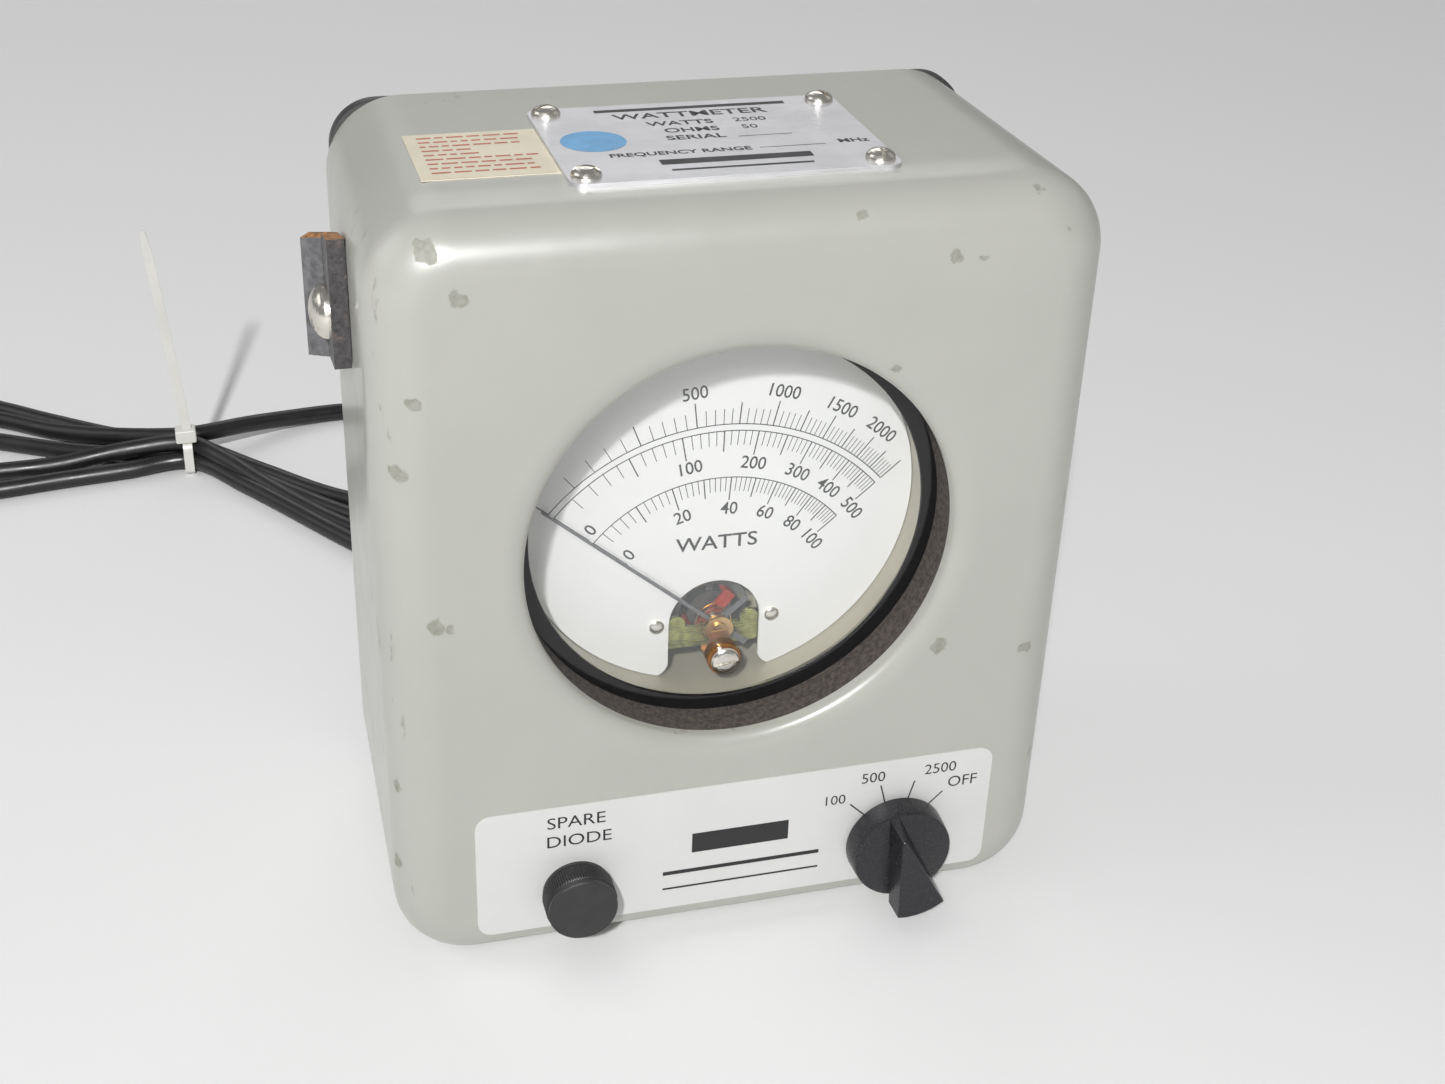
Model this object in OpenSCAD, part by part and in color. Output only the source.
// Wattmeter indicator unit: a drawn steel case with a shock-mounted panel meter, a range switch,
// a spare diode holder, a carrying-strap stub on each side and a free DC cable at the back.
// Origin at the centre of the case's bottom face, +Z up, +Y towards the back, millimetres.
// "Depth" below means the distance behind the case's front face, along +Y.

/* [Case] */
// Width of the case at its front
case_w = 130.2; // [124:0.1:136]
// Height of the case
case_h = 151.8; // [148:0.1:160]
// Depth of the case without its rear cover
case_d = 70.5; // [68:0.5:80]
// How far each side and the top draw in towards the back
case_draft = 1.3; // [0:0.1:2]
// Thickness of the case's wall
wall = 1.6; // [1.2:0.1:2]
// Radius of the case's corners, seen from the front
corner_r = 14.5; // [13:0.5:16]
// Radius of the edge around the front face
edge_r = 9.3; // [6:0.1:9.5]
// Thickness of the rear cover
cover_t = 1.6; // [1:0.1:2.5]
// Thickness of the rear gasket
gasket_t = 1.2; // [0.5:0.1:2]

/* [Window and meter] */
// Radius of the window in the front face
window_r = 40; // [38:0.5:42]
// Height of the window's centre
window_z = 85.5; // [84:0.5:88]
// Depth of the meter's bezel, behind the foam ring
bezel_depth = 11.3; // [9:0.1:13]
// Radius of the glass that shows inside the bezel
glass_r = 37.4; // [36:0.1:38]
// Radius of the dial plate
dial_r = 38.2; // [37:0.1:38.3]
// Depth of the dial plate's face
dial_depth = 19; // [18.8:0.1:19]
// Height of the pointer's axis
pivot_z = 60.2; // [59:0.1:61]
// Length of the pointer from its axis to its tip
pointer_len = 44; // [40:0.5:45]
// Half of the pointer's full swing, in degrees
half_swing = 50; // [40:1:50]
// Length of the meter's can, from bezel to terminals
can_len = 40; // [38:0.5:44]

/* [Range switch and diode holder] */
// Sideways place of the range switch
switch_x = 33.2; // [28:0.1:36]
// Height of the range switch's axis
switch_z = 16.4; // [15:0.1:18]
// Radius of the knob's skirt
knob_r = 10.2; // [9.8:0.1:11]
// Height of the knob from the panel to the front of its bar
knob_h = 11.3; // [10.5:0.1:12.5]
// Angle from one range to the next, in degrees
index_angle = 30; // [30:1:30]
// Sideways place of the spare diode holder
holder_x = -31.3; // [-34:0.1:-28]
// Height of the spare diode holder's axis
holder_z = 15.3; // [14:0.1:18]
// Radius of the diode holder's cap
cap_r = 7; // [6.8:0.1:7.5]

/* [Plates] */
// Width of the label plate under the window
label_w = 103.4; // [98:0.1:104]
// Height of the label plate
label_h = 28.3; // [26:0.1:29]
// Width of the nameplate on top
nameplate_w = 58; // [50:0.5:60]
// Length of the nameplate on top, front to back
nameplate_l = 42; // [38:0.5:44]

/* [Strap] */
// Width of the carrying strap
strap_w = 16; // [16:0.5:20]
// Thickness of the carrying strap
strap_t = 3.2; // [2.5:0.1:3.5]
// Height of the stub that is left of the strap
stub_h = 24.2; // [20:0.1:25]

/* [Cable] */
// Diameter of the DC cable
cable_d = 4.8; // [4.6:0.1:5]
// Sideways place of the cable's exit in the rear cover
exit_x = 44; // [44:1:44]
// Height of the cable's exit
exit_z = 22; // [22:1:22]

/* [Hidden] */

$fn = 64;
front_y = -case_d / 2;                       // where the front face stands
back_d = case_d + gasket_t + cover_t;        // depth of the rear cover's outside
slope = atan(case_draft / (case_d - edge_r)); // draft of the top and sides, in degrees
clear = 0.05;                                // running clearance of shafts, on the radius

rim_w = 4.5;                                 // width of the rolled edge around the window
rim_d = 2;                                   // how deep the rolled edge turns in
rim_back = 3.5;                              // depth where the foam starts
boss_in = 8;                                 // rear bosses' distance from the case's sides
cover_inset = 1;                             // the cover stands in from the case's sides
cover_r = 9;                                 // corner radius of the cover and its gasket
stud_r = 50;                                 // radius of the circle of meter studs

nameplate_d = 12;                            // depth of the nameplate's front edge
nameplate_t = 0.8;
sticker_t = 0.15;
label_t = 0.25;
label_x = 1.2;                               // the label plate sits a little off centre
label_z = 21.15;
nameplate_hole_x = 25.8;
nameplate_hole_d = [16, 50.5];

strap_d = 35;                                // depth of the strap screws
strap_z = 123.8;                             // height of the strap screws
strap_edge = 5.5;                            // from the strap screws to the stubs' front edge
head_r = 5;
head_h = 3.4;

can_r = dial_r + 0.2;                        // inside of the meter's can
can_t = 1.2;
flange_r = 44.5;
glass_d = bezel_depth + 0.6;
glass_t = 2;
can_front = glass_d + glass_t;
can_back = bezel_depth + can_len;

yoke_r = 7.8;                                // outside of the magnet yoke
yoke_bore = 6.2;
yoke_d = [22.3, 34];
core_r = 4.4;
post_x = 11.5;                               // the posts that hold the dial
frame_d = [36.4, 38];
zero_z = 56.2;                               // height of the zero adjuster's axis
zero_throw = 0.9;                            // how far its pin stands off that axis
pointer_d = 18;
staff_r = 0.3;

shaft_r = 3.175;
bushing_r = 4.7;
skirt_gap = 1.1;                             // room between panel and knob
skirt_front = 6.2;                           // how far the knob's skirt stands out
tail_r = 11.9;
rest_angle = -index_angle / 2;               // the knob points at the second range

neck_r = 5.5;                                // diode holder's threaded neck
cap_front = 7.1;

cable_r = cable_d / 2;
relief_len = 20;
hank_h = 2 * cable_d;
tail_lean = 6;                               // lean of the tie's tail, in degrees
tail_len = 58;
tie_x = -95;                                 // where the tie holds the hank
tie_y = 187;
plug_start = [-170, 238, 9.6];               // where the tail enters the plug
plug_r = 9.5;
thread_r = 7.9;                              // inside of the plug's coupling ring

// The lead from the strain relief to the hank, its middle line, by hand
lead_route = [[44, 58, 22], [44, 66, 21.6], [44, 76, 19], [44, 88, 13], [44, 100, 7],
    [43, 112, 3.6], [41, 124, 2.5], [37, 140, 2.5], [29, 158, 2.5], [16, 176, 2.5],
    [0, 190, 2.5], [-18, 199, 2.5], [-36, 204, 2.5], [-52, 205, 2.5], [-66, 202, 3.4],
    [-78, 196, 5], [-88, 191, 6.2]];
// The tail from the hank to the plug, its middle line, by hand
tail_route = [[-138, 220, 2.5], [-148, 227, 2.5], [-156, 232, 4], [-163, 236, 7.4],
    [-170, 238, 9.6]];
// Outlines of the hank's two folds on the floor, which meet at the tie, by hand
left_fold = [[-95, 194.5], [-112, 200], [-130, 214], [-144, 224], [-160, 226], [-172, 222],
    [-181, 211], [-184, 196], [-179, 181], [-167, 173], [-150, 172], [-130, 177], [-112, 180],
    [-95, 179.5]];
right_fold = [[-95, 179.5], [-86, 171], [-71, 149], [-57, 128], [-40, 104], [-22, 86], [-4, 76],
    [16, 76], [30, 87], [34, 104], [27, 122], [10, 135], [-12, 141], [-36, 144], [-57, 156],
    [-72, 174], [-86, 191], [-95, 194.5]];

// Helpers

function side_x(d) = case_w / 2 - case_draft * max(0, d - edge_r) / (case_d - edge_r);
function top_z(d) = case_h - case_draft * max(0, d - edge_r) / (case_d - edge_r);
function on_circle(r, a) = [r * sin(a), r * cos(a)];

// A round bar along Y between two depths
module rod(x, z, d0, d1, r, fn = 48)
    translate([x, front_y + d0, z]) rotate([-90, 0, 0]) cylinder(h = d1 - d0, r = r, $fn = fn);

// A turned part along Y; its points are [radius, depth]
module turned(x, z, points, fn = 96)
    translate([x, front_y, z]) rotate([-90, 0, 0]) rotate_extrude($fn = fn) polygon(points);

// A flat shape drawn in X and Z, between two depths
module slab(d0, d1)
    translate([0, front_y + d1, 0]) rotate([90, 0, 0]) linear_extrude(d1 - d0) children();

module round_rect(w, h, r) {
    square([w - 2 * r, h], center = true);
    square([w, h - 2 * r], center = true);
    for (sx = [-1, 1], sy = [-1, 1])
        translate([sx * (w / 2 - r), sy * (h / 2 - r)]) circle(r, $fn = 32);
}

module annulus(r0, r1)
    difference() {
        circle(r1, $fn = 96);
        circle(r0, $fn = 96);
    }

// Places its children on the case's top, whose draft slopes down to the back
module on_top(d) translate([0, front_y + d, top_z(d)]) rotate([-slope, 0, 0]) children();

// Closed tube swept along a list of points, one ring of sides at each point
function unit(v) = v / norm(v);
function tangent(p, i) = unit(p[min(i + 1, len(p) - 1)] - p[max(i - 1, 0)]);
function across(t) = unit(cross(t, abs(t[2]) > 0.9 ? [1, 0, 0] : [0, 0, 1]));
module tube(path, r, sides) {
    n = len(path);
    rings = [for (i = [0:n - 1]) let (t = tangent(path, i), u = across(t), v = cross(t, u))
        for (k = [0:sides - 1]) path[i] + r * (cos(k * 360 / sides) * u + sin(k * 360 / sides) * v)];
    walls = [for (i = [0:n - 2]) for (k = [0:sides - 1]) let (k2 = (k + 1) % sides)
        [i * sides + k, i * sides + k2, (i + 1) * sides + k2, (i + 1) * sides + k]];
    ends = [[for (k = [sides - 1:-1:0]) k], [for (k = [0:sides - 1]) (n - 1) * sides + k]];
    polyhedron(rings, concat(walls, ends));
}

// Case

module case_block(inset, front, back) {
    rc = corner_r - inset;
    re = edge_r - inset;
    hull()
        for (sx = [-1, 1], top = [0, 1]) {
            x = sx * (case_w / 2 - corner_r);
            z = top * (case_h - 2 * corner_r) + corner_r;
            translate([x, front_y + front + re, z])
                rotate([90, 0, 0]) rotate_extrude($fn = 48) polygon(concat([[0, 0], [0, re]],
                    [for (a = [0:9:90]) [rc - re + re * sin(a), re * cos(a)]]));
            translate([x - sx * case_draft, front_y + back - 0.5, z - top * case_draft])
                rotate([-90, 0, 0]) cylinder(h = 0.5, r = rc, $fn = 48);
        }
}

module window_opening()
    turned(0, window_z, concat([[0, -1], [window_r + rim_w, -1]],
        [for (a = [0:15:90]) [window_r + rim_w * (1 - sin(a)), rim_d * (1 - cos(a))]],
        [[window_r, rim_back + 1], [0, rim_back + 1]]));

module at_bosses()
    for (sx = [-1, 1], z = [boss_in, case_h - case_draft - boss_in])
        translate([sx * (case_w / 2 - case_draft - boss_in), 0, z]) children();

module case_skin() difference() {
    case_block(0, 0, case_d);
    case_block(wall, wall, case_d + 1);
}

// Everything in front of (-1) or behind (1) the line where the front's rounded edges end
module front_part(side)
    translate([-100, side > 0 ? front_y + edge_r : front_y - 50, -10])
        cube([200, side > 0 ? 100 : 50 + edge_r, 200]);

// The drawn case is one piece of steel: its front is a node of its own to keep both nodes simple
module case_front() color([0.74, 0.75, 0.71]) difference() {
    union() {
        intersection() {
            case_skin();
            front_part(-1);
        }
        slab(wall - 0.1, rim_back) translate([0, window_z]) annulus(window_r, window_r + 6);
    }
    window_opening();
    rod(switch_x, switch_z, -1, 3, bushing_r + 0.1);
    rod(holder_x, holder_z, -1, 3, neck_r + 0.1);
}

// Welded studs behind the front, which carry the meter's clamp
module meter_studs() color([0.74, 0.74, 0.73])
    for (a = [45:90:315]) let (p = on_circle(stud_r, a))
        rod(p[0], window_z + p[1], wall, 21, 1.9);

module case_shell() color([0.74, 0.75, 0.71]) difference() {
    union() {
        intersection() {
            case_skin();
            front_part(1);
        }
        at_bosses() rod(0, 0, case_d - 14, case_d, 4.5);
    }
    at_bosses() rod(0, 0, case_d - 12, case_d + 1, 1.65);
    for (x = [-1, 1], d = nameplate_hole_d)
        on_top(d) translate([x * nameplate_hole_x, 0, -4]) cylinder(h = 6, r = 1.4, $fn = 32);
    for (s = [-1, 1])
        translate([s * (case_w / 2 - 5), front_y + strap_d, strap_z])
            rotate([0, s * 90, 0]) cylinder(h = 8, r = 2.2, $fn = 32);
}

module rear_outline()
    translate([0, (case_h - case_draft) / 2])
        round_rect(case_w - 2 * case_draft - 2 * cover_inset, case_h - case_draft - 2 * cover_inset, cover_r);

module rear_gasket() color([0.1, 0.1, 0.1]) difference() {
    slab(case_d, case_d + gasket_t) difference() {
        rear_outline();
        translate([0, (case_h - case_draft) / 2])
            round_rect(case_w - 2 * case_draft - 10, case_h - case_draft - 10, 8);
    }
    at_bosses() rod(0, 0, case_d - 1, case_d + 3, 4.5);
}

module rear_cover() color([0.2, 0.2, 0.2]) difference() {
    slab(case_d + gasket_t, back_d) rear_outline();
    at_bosses() rod(0, 0, case_d, back_d + 1, 1.9);
    rod(exit_x, exit_z, case_d, back_d + 1, 5);
}

module cover_screws() color([0.75, 0.75, 0.75]) at_bosses() difference() {
    union() {
        turned(0, 0, [[0, back_d], [3.2, back_d], [3.2, back_d + 1.2], [2.4, back_d + 2.2],
            [0, back_d + 2.2]], 48);
        rod(0, 0, case_d - 9, back_d + 0.1, 1.65);
    }
    slab(back_d + 1.3, back_d + 3) square([7, 0.8], center = true);
}

// Plates

module label_plate() color([0.86, 0.86, 0.86]) difference() {
    slab(-label_t, 0) translate([label_x, label_z]) round_rect(label_w, label_h, 3);
    rod(switch_x, switch_z, -1, 1, bushing_r + 0.1);
    rod(holder_x, holder_z, -1, 1, neck_r + 0.1);
}

module nameplate() color([0.78, 0.78, 0.8]) difference() {
    on_top(nameplate_d) translate([0, nameplate_l / 2, 0.02])
        linear_extrude(nameplate_t) round_rect(nameplate_w, nameplate_l, 2.5);
    for (x = [-1, 1], d = nameplate_hole_d)
        on_top(d) translate([x * nameplate_hole_x, 0, -1]) cylinder(h = 4, r = 1.6, $fn = 32);
}

module nameplate_screws() color([0.8, 0.8, 0.78])
    for (x = [-1, 1], d = nameplate_hole_d)
        on_top(d) translate([x * nameplate_hole_x, 0, 0]) difference() {
            union() {
                translate([0, 0, nameplate_t + 0.02]) rotate_extrude($fn = 48)
                    polygon(concat([[0, 0]], [for (a = [0:15:90]) [2.65 * cos(a), 0.3 + 1.5 * sin(a)]]));
                translate([0, 0, nameplate_t + 0.02]) cylinder(h = 0.31, r = 2.65, $fn = 48);
                translate([0, 0, -3]) cylinder(h = 3.9, r = 1.4, $fn = 32);
            }
            rotate([0, 0, 20 + 50 * x + d]) translate([-3, -0.3, nameplate_t + 1.1]) cube([6, 0.6, 2]);
        }

module calibration_sticker() color([0.88, 0.83, 0.7])
    on_top(20.5) translate([-52.5, 0, 0.02]) cube([52.5 - nameplate_w / 2 - 0.1, 24.5, sticker_t]);

// Strap

// Flat where the screw clamps it, then curling away from the case; its cut ends slope down to the back
module strap_stub() {
    d0 = strap_d - strap_edge;
    d1 = d0 + strap_w;
    x = side_x(d0) + 0.05;
    flat_end = d1 - 3.5;
    top = strap_z + 15.3;
    difference() {
        intersection() {
            translate([0, front_y, top - 40]) linear_extrude(45)
                polygon([[x, d0], [x, flat_end], [x + 5.5, d1], [x + 7.2, d1 - 2.7],
                    [x + strap_t, d1 - 5.2], [x + strap_t, d0]]);
            translate([x - 1, front_y, 0]) rotate([90, 0, 90]) linear_extrude(20)
                polygon([[d0, top], [d1, top - 4.5], [d1, top - stub_h - 2.7], [d0, top - stub_h]]);
        }
        translate([x - 1, front_y + strap_d, strap_z]) rotate([0, 90, 0]) cylinder(h = 9, r = 2.3, $fn = 32);
    }
}

module strap_stub_right() color([0.13, 0.12, 0.12]) strap_stub();

module strap_stub_left() color([0.13, 0.12, 0.12]) mirror([1, 0, 0]) strap_stub();

module strap_screws() color([0.75, 0.75, 0.74])
    for (s = [0, 1]) mirror([s, 0, 0]) {
        x = side_x(strap_d - strap_edge) + 0.05 + strap_t;
        translate([x, front_y + strap_d, strap_z]) rotate([0, 90, 0]) {
            rotate_extrude($fn = 64) polygon(concat([[0, 0]],
                [for (a = [0:10:90]) [head_r * cos(a), 0.4 + (head_h - 0.4) * sin(a)]]));
            cylinder(h = 0.41, r = head_r, $fn = 64);
            translate([0, 0, -11]) cylinder(h = 11.1, r = 2.1, $fn = 32);
        }
    }

module strap_nuts() color([0.7, 0.68, 0.6])
    for (s = [0, 1]) mirror([s, 0, 0])
        translate([side_x(strap_d) - wall - 3.3, front_y + strap_d, strap_z]) rotate([0, 90, 0])
            difference() {
                cylinder(h = 3, r = 4.8, $fn = 6);
                translate([0, 0, -1]) cylinder(h = 5, r = 2.1, $fn = 32);
            }

// Meter

module foam_ring() color([0.22, 0.19, 0.18])
    slab(rim_back, bezel_depth) translate([0, window_z]) annulus(window_r + 0.3, window_r + 6);

module bezel_ring() color([0.05, 0.05, 0.06])
    turned(0, window_z, [[glass_r, bezel_depth], [flange_r, bezel_depth], [flange_r, can_front],
        [glass_r + 1.6, can_front], [glass_r + 1.6, glass_d], [glass_r, glass_d]]);

module meter_glass() color([0.85, 0.9, 0.9, 0.3]) difference() {
    rod(0, window_z, glass_d, can_front, glass_r + 1.5, 96);
    rod(0, zero_z, glass_d - 1, can_front + 1, 2.2);
}

module meter_can() color([0.6, 0.58, 0.5]) difference() {
    turned(0, window_z, [[can_r, can_front], [flange_r, can_front], [flange_r, can_front + 1.6],
        [can_r + can_t, can_front + 1.6], [can_r + can_t, can_back], [0, can_back],
        [0, can_back - 1.5], [can_r, can_back - 1.5]]);
    for (s = [-1, 1]) rod(s * 20, window_z, can_back - 3, can_back + 1, 2.1);
}

module meter_clamp() color([0.66, 0.66, 0.64]) difference() {
    slab(can_front + 1.6, can_front + 3.1) translate([0, window_z]) annulus(can_r + can_t + 0.1, 53.5);
    for (a = [45:90:315]) let (p = on_circle(stud_r, a)) rod(p[0], window_z + p[1], 10, 30, 2);
}

module clamp_nuts() color([0.7, 0.7, 0.68])
    for (a = [45:90:315]) let (p = on_circle(stud_r, a)) difference() {
        rod(p[0], window_z + p[1], can_front + 3.1, can_front + 5.5, 4.2, 6);
        rod(p[0], window_z + p[1], 10, 30, 1.9);
    }

module meter_terminals() color([0.8, 0.65, 0.3])
    for (s = [-1, 1]) {
        rod(s * 20, window_z, can_back - 4, can_back + 11, 2.1);
        rod(s * 20, window_z, can_back, can_back + 2.4, 4.6, 6);
        rod(s * 20, window_z, can_back + 7.1, can_back + 9.5, 4.6, 6);
    }

module range_board() color([0.45, 0.35, 0.15]) difference() {
    slab(can_back + 5.5, can_back + 7.1) translate([0, window_z]) square([62, 30], center = true);
    for (s = [-1, 1]) rod(s * 20, window_z, can_back, can_back + 12, 2.1);
}

module range_resistors() color([0.6, 0.35, 0.2])
    for (i = [-1:1])
        translate([-7, front_y + can_back + 9.6, window_z + 9 * i]) rotate([0, 90, 0])
            cylinder(h = 14, r = 2.5, $fn = 32);

// Dial and movement

module keyhole() {
    half_w = 9.1;
    translate([-half_w, 30]) square([2 * half_w, 30]);
    translate([0, 60]) circle(half_w, $fn = 64);
    // The lower corners open out in a quarter round
    for (s = [-1, 1]) difference() {
        translate([s * (half_w + 1), 42]) square([4, 18], center = true);
        translate([s * (half_w + 3), 51.8]) circle(3, $fn = 48);
        translate([s * (half_w + 3), 56.8]) square([6, 10], center = true);
    }
}

module dial_plate() color([0.93, 0.93, 0.92]) difference() {
    slab(dial_depth, dial_depth + 0.6) difference() {
        translate([0, window_z]) circle(dial_r, $fn = 96);
        keyhole();
    }
    for (s = [-1, 1]) rod(s * post_x, pivot_z, dial_depth - 1, dial_depth + 2, 1.1);
}

module dial_screws() color([0.72, 0.72, 0.72])
    for (s = [-1, 1]) {
        turned(s * post_x, pivot_z, concat([[0, dial_depth]],
            [for (a = [0:15:90]) [1.5 * cos(a), dial_depth - 0.2 - 0.6 * sin(a)]]), 32);
        rod(s * post_x, pivot_z, dial_depth - 0.21, dial_depth, 1.5);
        rod(s * post_x, pivot_z, dial_depth, dial_depth + 5, 1);
    }

module movement_frame() color([0.68, 0.66, 0.6]) difference() {
    union() {
        for (s = [-1, 1]) rod(s * post_x, pivot_z, dial_depth + 0.6, frame_d[1], 1.8);
        slab(24, 26) translate([0, pivot_z]) square([2 * post_x, 3], center = true);
        slab(frame_d[0], frame_d[1]) translate([0, pivot_z]) round_rect(30, 16, 3);
        for (s = [-1, 1]) rod(s * 9, pivot_z, frame_d[1] - 0.1, can_back - 1.5, 2.5);
    }
    for (s = [-1, 1]) rod(s * post_x, pivot_z, dial_depth, dial_depth + 5.5, 1);
    rod(0, pivot_z, 20, frame_d[0] - 0.5, yoke_r);
    rod(0, pivot_z, frame_d[0] - 1, frame_d[1] + 1, 1.65);
}

module magnet_yoke() color([0.5, 0.5, 0.48])
    slab(yoke_d[0], yoke_d[1]) translate([0, pivot_z]) annulus(yoke_bore, yoke_r);

module core_magnet() color([0.35, 0.36, 0.4]) {
    rod(0, pivot_z, yoke_d[0] + 0.3, yoke_d[1] - 0.3, core_r);
    slab(yoke_d[0] + 1, yoke_d[1] - 1) translate([0, pivot_z]) intersection() {
        square([1.4, 2 * yoke_bore], center = true);
        annulus(core_r - 0.2, yoke_bore);
    }
}

module front_bar() color([0.62, 0.64, 0.36]) {
    slab(dial_depth + 0.9, dial_depth + 1.7) translate([0, 56.5]) round_rect(18, 4.6, 0.8);
    for (s = [-1, 1])
        slab(dial_depth + 0.9, dial_depth + 1.7) translate([s * 7.3, 59.4]) circle(1.8, $fn = 32);
    for (s = [-1, 1]) rod(s * 6.9, 56.5, dial_depth + 1.7, yoke_d[0], 0.8);
}

module front_bridge() color([0.72, 0.55, 0.3]) difference() {
    union() {
        slab(16.4, 17) {
            translate([0, (51.5 + pivot_z) / 2]) square([3.2, pivot_z - 51.5], center = true);
            translate([0, pivot_z]) circle(2.4, $fn = 48);
        }
        slab(16.4, yoke_d[0]) translate([0, 51.8]) square([3.2, 0.6], center = true);
        slab(yoke_d[0] - 0.5, yoke_d[0]) translate([0, 52.6]) square([3.2, 1.2], center = true);
    }
    rod(0, pivot_z, 16, 17.5, 1.6);
}

module front_jewel() color([0.75, 0.6, 0.3]) difference() {
    rod(0, pivot_z, 15, 17.2, 1.6);
    rod(0, pivot_z, 16.4, 17.3, staff_r + 0.04, 32);
    slab(14.9, 15.4) translate([0, pivot_z]) square([4, 0.4], center = true);
}

module rear_jewel() color([0.75, 0.6, 0.3]) difference() {
    rod(0, pivot_z, frame_d[0] - 0.5, frame_d[1], 1.65);
    rod(0, pivot_z, frame_d[0] - 0.6, frame_d[0] + 0.8, staff_r + 0.04, 32);
}

// Turns a flat shape about the pointer's axis, clockwise seen from the front
module about_pivot(a) translate([0, pivot_z]) rotate(-a) children();

module moving_coil() color([0.7, 0.25, 0.2]) {
    for (d = [21.1, 34.5])
        slab(d, d + 0.7) about_pivot(90 - half_swing) square([2.5, 11.6], center = true);
    for (s = [0, 180])
        slab(21.1, 35.2) about_pivot(90 - half_swing + s)
            translate([0, 5.35]) square([2.5, 0.9], center = true);
}

module pointer() color([0.35, 0.36, 0.37]) {
    difference() {
        rod(0, pivot_z, 17.4, 18.6, 1.5);
        rod(0, pivot_z, 17, 19, staff_r);
    }
    slab(pointer_d - 0.15, pointer_d + 0.15) about_pivot(-half_swing)
        polygon([[-0.4, 1.2], [-0.2, pointer_len], [0.2, pointer_len], [0.4, 1.2]]);
    for (a = [50, 130])
        slab(pointer_d - 0.15, pointer_d + 0.15) about_pivot(a)
            polygon([[-0.6, 1.2], [-0.6, 8], [0.6, 8], [0.6, 1.2]]);
}

module pointer_staff() color([0.75, 0.75, 0.78]) {
    rod(0, pivot_z, 16.5, 21.1, staff_r, 32);
    rod(0, pivot_z, 35.2, 37.1, staff_r, 32);
    rod(0, pivot_z, 20.2, 21.1, 0.8, 32);
    rod(0, pivot_z, 35.2, 35.6, 0.8, 32);
}

// A flat spiral strip of three turns, from the staff outwards
function spiral(i, wide) = on_circle(0.9 + wide + i / 24, i * 15);
module hairspring() color([0.7, 0.6, 0.35]) {
    slab(18.75, 18.95) translate([0, pivot_z]) {
        polygon(concat([for (i = [0:72]) spiral(i, 0)], [for (i = [72:-1:0]) spiral(i, 0.22)]));
        annulus(staff_r, 1);
    }
}

module zero_lever() color([0.72, 0.6, 0.35]) slab(15.4, 16) difference() {
    translate([0, pivot_z]) {
        circle(2.8, $fn = 48);
        translate([0, -3]) square([2.2, 5.6], center = true);
    }
    translate([0, pivot_z]) circle(1.68, $fn = 48);
    translate([0, zero_z - zero_throw - 0.3]) square([0.9, 1.8], center = true);
}

module zero_bushing() color([0.5, 0.36, 0.22])
    turned(0, zero_z, [[1.25, glass_d - 0.7], [3.3, glass_d - 0.7], [3.3, glass_d], [2.2, glass_d],
        [2.2, can_front], [3.2, can_front], [2.4, can_front + 1.1], [1.25, can_front + 1.1]], 64);

module zero_screw() color([0.75, 0.75, 0.73]) {
    d0 = glass_d - 0.75;
    difference() {
        turned(0, zero_z, concat([[0, d0], [2.8, d0]],
            [for (a = [0:15:90]) [2.8 * cos(a), d0 - 0.5 - 1 * sin(a)]]), 48);
        slab(d0 - 3, d0 - 0.9) translate([0, zero_z]) rotate(9) square([7, 0.7], center = true);
    }
    rod(0, zero_z, d0 - 0.01, can_front + 1.4, 1.2);
    rod(0, zero_z - zero_throw, can_front + 1.3, 16.2, 0.35, 24);
}

// Range switch

module switch_bushing() color([0.72, 0.7, 0.6]) difference() {
    union() {
        rod(switch_x, switch_z, -3.5, wall + 0.1, bushing_r);
        rod(switch_x, switch_z, wall, 3.3, 6.9);
        rod(switch_x, switch_z, 3.2, 6.5, 11);
        rod(switch_x, switch_z, 6.5, 8, 13.5);
    }
    rod(switch_x, switch_z, -4, 9, shaft_r + clear);
}

module switch_nut() color([0.78, 0.78, 0.76]) difference() {
    rod(switch_x, switch_z, -2.3, -label_t, 7, 6);
    rod(switch_x, switch_z, -3, 1, bushing_r);
}

module switch_wafer() color([0.55, 0.38, 0.2]) {
    slab(12, 13.2) translate([switch_x, switch_z]) annulus(9, 13.5);
    for (s = [-1, 1]) rod(switch_x + s * 12, switch_z, 8, 12, 1.4);
    slab(13.2, 13.6) translate([switch_x, switch_z]) for (i = [0:5])
        rotate(i * index_angle) translate([0, 11.6]) square([1.6, 3.6], center = true);
}

module switch_rotor() color([0.8, 0.72, 0.5]) difference() {
    rod(switch_x, switch_z, 12, 13.2, 8.6);
    rod(switch_x, switch_z, 11, 14, shaft_r);
}

module switch_shaft() color([0.75, 0.75, 0.77])
    rod(switch_x, switch_z, -5.7, 18, shaft_r);

module on_switch() translate([switch_x, switch_z]) rotate(-rest_angle) children();

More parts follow.
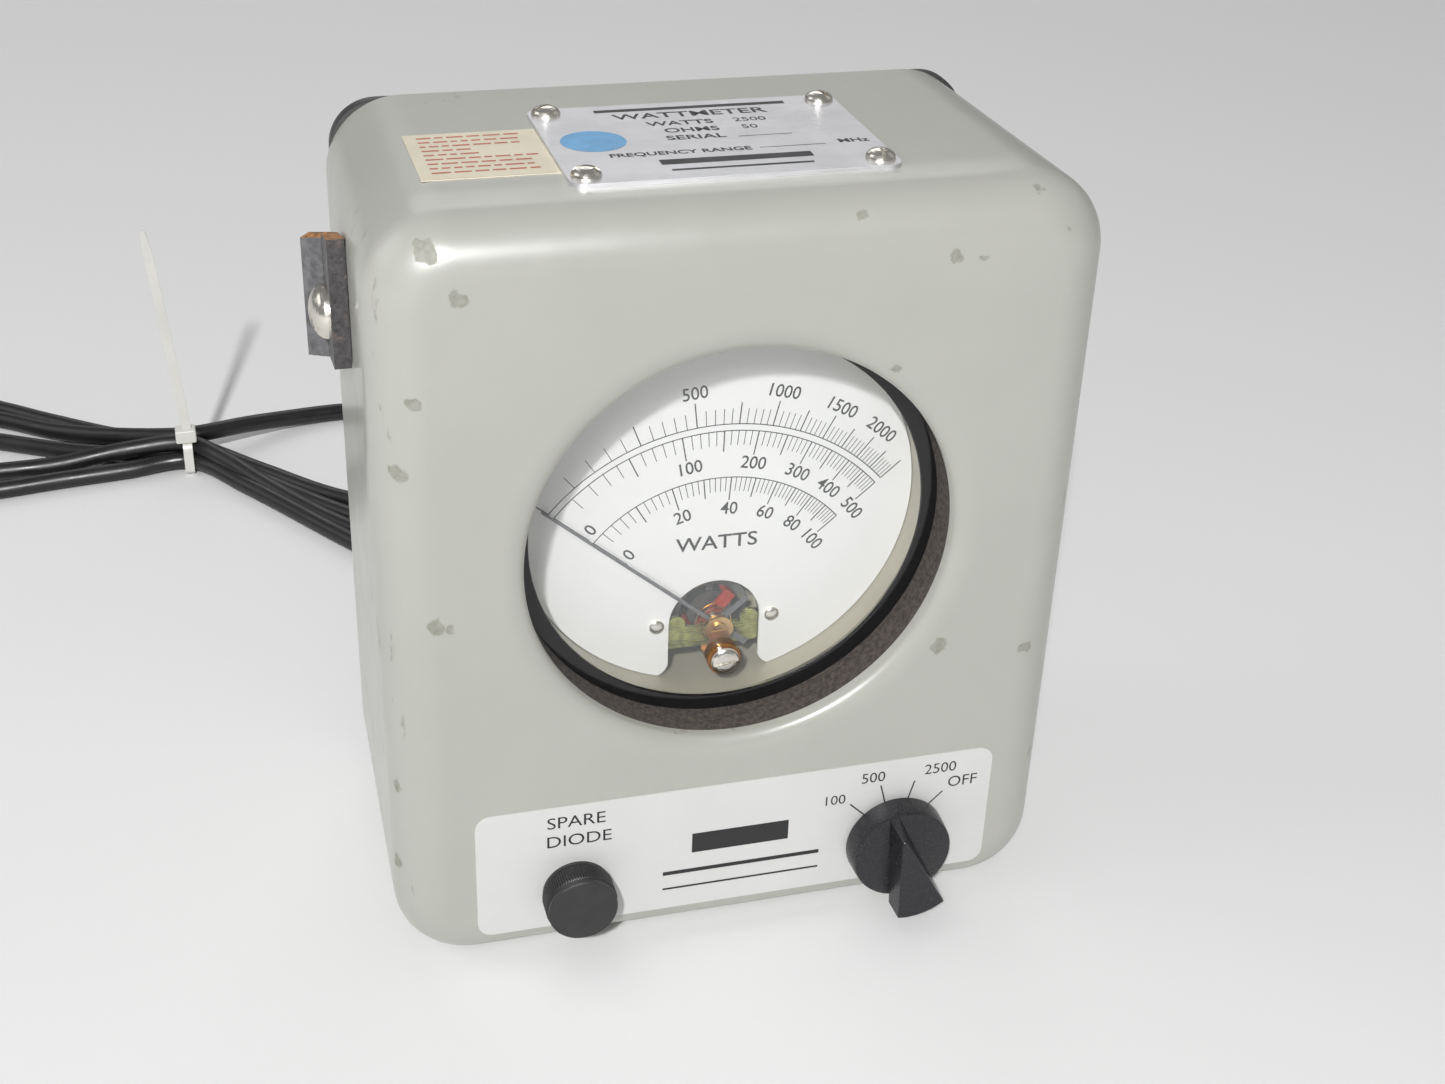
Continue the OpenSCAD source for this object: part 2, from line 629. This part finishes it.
module selector_knob() color([0.07, 0.07, 0.08]) difference() {
    union() {
        turned(switch_x, switch_z, [[0, -skirt_front], [knob_r - 0.6, -skirt_front],
            [knob_r - 0.2, 0.4 - skirt_front], [knob_r, -skirt_gap], [0, -skirt_gap]]);
        intersection() {
            slab(-knob_h, 0.1 - skirt_front) on_switch() intersection() {
                circle(tail_r, $fn = 96);
                polygon([[-5.4, -12], [5.4, -12], [1, 7.4], [0.9, knob_r], [-0.9, knob_r], [-1, 7.4]]);
            }
            // The ridge slopes down from the bar's front to the skirt
            translate([switch_x, 0, switch_z]) rotate([0, rest_angle, 0]) rotate([90, 0, 90])
                translate([0, 0, -15]) linear_extrude(30)
                    polygon([[front_y, -13], [front_y - knob_h, -13], [front_y - knob_h, 7.4],
                        [front_y - skirt_front, knob_r], [front_y, knob_r]]);
        }
    }
    rod(switch_x, switch_z, -4.2, 0, 8.2);
    rod(switch_x, switch_z, -5.7, 0, shaft_r);
    translate([switch_x, front_y - 5.2, switch_z]) rotate([0, 90 + rest_angle, 0])
        cylinder(h = 12, r = 0.8, $fn = 32);
}

module knob_set_screw() color([0.4, 0.4, 0.42])
    translate([switch_x, front_y - 5.2, switch_z]) rotate([0, 90 + rest_angle, 0])
        translate([0, 0, shaft_r]) cylinder(h = knob_r - shaft_r - 0.4, r = 0.8, $fn = 32);

// Spare diode

module diode_holder() color([0.1, 0.1, 0.1]) difference() {
    union() {
        rod(holder_x, holder_z, -4.2, 19, neck_r);
        rod(holder_x, holder_z, -1, -label_t, 6.6);
    }
    rod(holder_x, holder_z, -5, 17.5, 3.6);
}

module holder_nut() color([0.72, 0.72, 0.7]) difference() {
    rod(holder_x, holder_z, wall, 4, 6.9, 6);
    rod(holder_x, holder_z, 0, 5, neck_r);
}

module diode_cap() color([0.09, 0.09, 0.09])
    turned(holder_x, holder_z, [[0, -cap_front], [cap_r - 0.6, -cap_front],
        [cap_r - 0.3, 0.3 - cap_front], [cap_r - 0.3, -5.8], [cap_r - 0.5, -5.8],
        [cap_r - 0.5, -5.5], [cap_r, -5.5], [cap_r, -1.3], [neck_r + 0.08, -1.3],
        [neck_r + 0.08, -4.6], [0, -4.6]]);

module spare_diode() color([0.8, 0.72, 0.5]) {
    rod(holder_x, holder_z, -4.6, -1.5, 2.9);
    rod(holder_x, holder_z, -1.5, 9, 2.4);
    rod(holder_x, holder_z, 9, 13.5, 1.3);
}

module cap_spring() color([0.7, 0.7, 0.7])
    slab(14, 17.5) translate([holder_x, holder_z]) annulus(1.6, 2.4);

// Cable

module strain_relief() color([0.06, 0.06, 0.06])
    turned(exit_x, exit_z, [[0, case_d - 2], [6, case_d - 2], [6, case_d + gasket_t], [5, case_d + gasket_t],
        [5, back_d], [6.5, back_d], [6.5, back_d + 2], [4.6, back_d + 2.6],
        [3.1, lead_route[0][1] - front_y], [0, lead_route[0][1] - front_y]], 64);

module cable_lead() color([0.08, 0.08, 0.09]) tube(lead_route, cable_r, 12);

module cable_tail() color([0.08, 0.08, 0.09]) tube(tail_route, cable_r, 12);

module fold_left() color([0.1, 0.1, 0.11]) linear_extrude(hank_h) polygon(left_fold);

module fold_right() color([0.1, 0.1, 0.11]) linear_extrude(hank_h) polygon(right_fold);

module cable_tie() color([0.9, 0.89, 0.85]) {
    translate([tie_x - 1.25, tie_y - 8.4, 0]) difference() {
        cube([2.5, 16.8, hank_h + 0.9]);
        translate([-1, 0.9, -1]) cube([5, 15, hank_h + 1]);
    }
    translate([tie_x - 3, tie_y - 8.4, hank_h]) cube([6.4, 5, 4]);
    translate([tie_x, tie_y - 5.4, hank_h + 4]) rotate([90, -tail_lean, 0])
        translate([-1.25, -1, 0]) linear_extrude(1) square([2.5, tail_len]);
}

module along_plug() translate(plug_start) rotate([0, -90, 0]) children();

module plug_body() color([0.12, 0.12, 0.13]) along_plug() rotate_extrude($fn = 64)
    polygon([[0, 0], [3.4, 0], [4.6, 6], [7, 8], [7, 16.6], [6, 16.6], [6, 22.6], [7.2, 22.6],
        [7.2, 24], [0, 24]]);

module plug_insert() color([0.85, 0.8, 0.7]) along_plug() {
    translate([0, 0, 24]) cylinder(h = 2, r = 7.2, $fn = 64);
    translate([0, 0, 25]) cylinder(h = 3.6, r = 2, $fn = 32);
}

module plug_ring() color([0.78, 0.78, 0.76]) along_plug() rotate_extrude($fn = 64)
    polygon([[6.1, 17], [plug_r - 0.4, 17], [plug_r, 17.4], [plug_r, 34.6], [plug_r - 0.4, 35],
        [thread_r, 35], [thread_r, 29], [thread_r + 0.4, 28.6], [thread_r + 0.4, 22.2], [6.1, 22.2]]);

case_front();
case_shell();
meter_studs();
rear_gasket();
rear_cover();
cover_screws();
label_plate();
nameplate();
nameplate_screws();
calibration_sticker();
strap_stub_left();
strap_stub_right();
strap_screws();
strap_nuts();
foam_ring();
bezel_ring();
meter_glass();
meter_can();
meter_clamp();
clamp_nuts();
meter_terminals();
range_board();
range_resistors();
dial_plate();
dial_screws();
movement_frame();
magnet_yoke();
core_magnet();
front_bar();
front_bridge();
front_jewel();
rear_jewel();
moving_coil();
pointer();
pointer_staff();
hairspring();
zero_lever();
zero_bushing();
zero_screw();
switch_bushing();
switch_nut();
switch_wafer();
switch_rotor();
switch_shaft();
selector_knob();
knob_set_screw();
diode_holder();
holder_nut();
diode_cap();
cap_spring();
spare_diode();
strain_relief();
cable_lead();
fold_left();
fold_right();
cable_tail();
cable_tie();
plug_body();
plug_insert();
plug_ring();
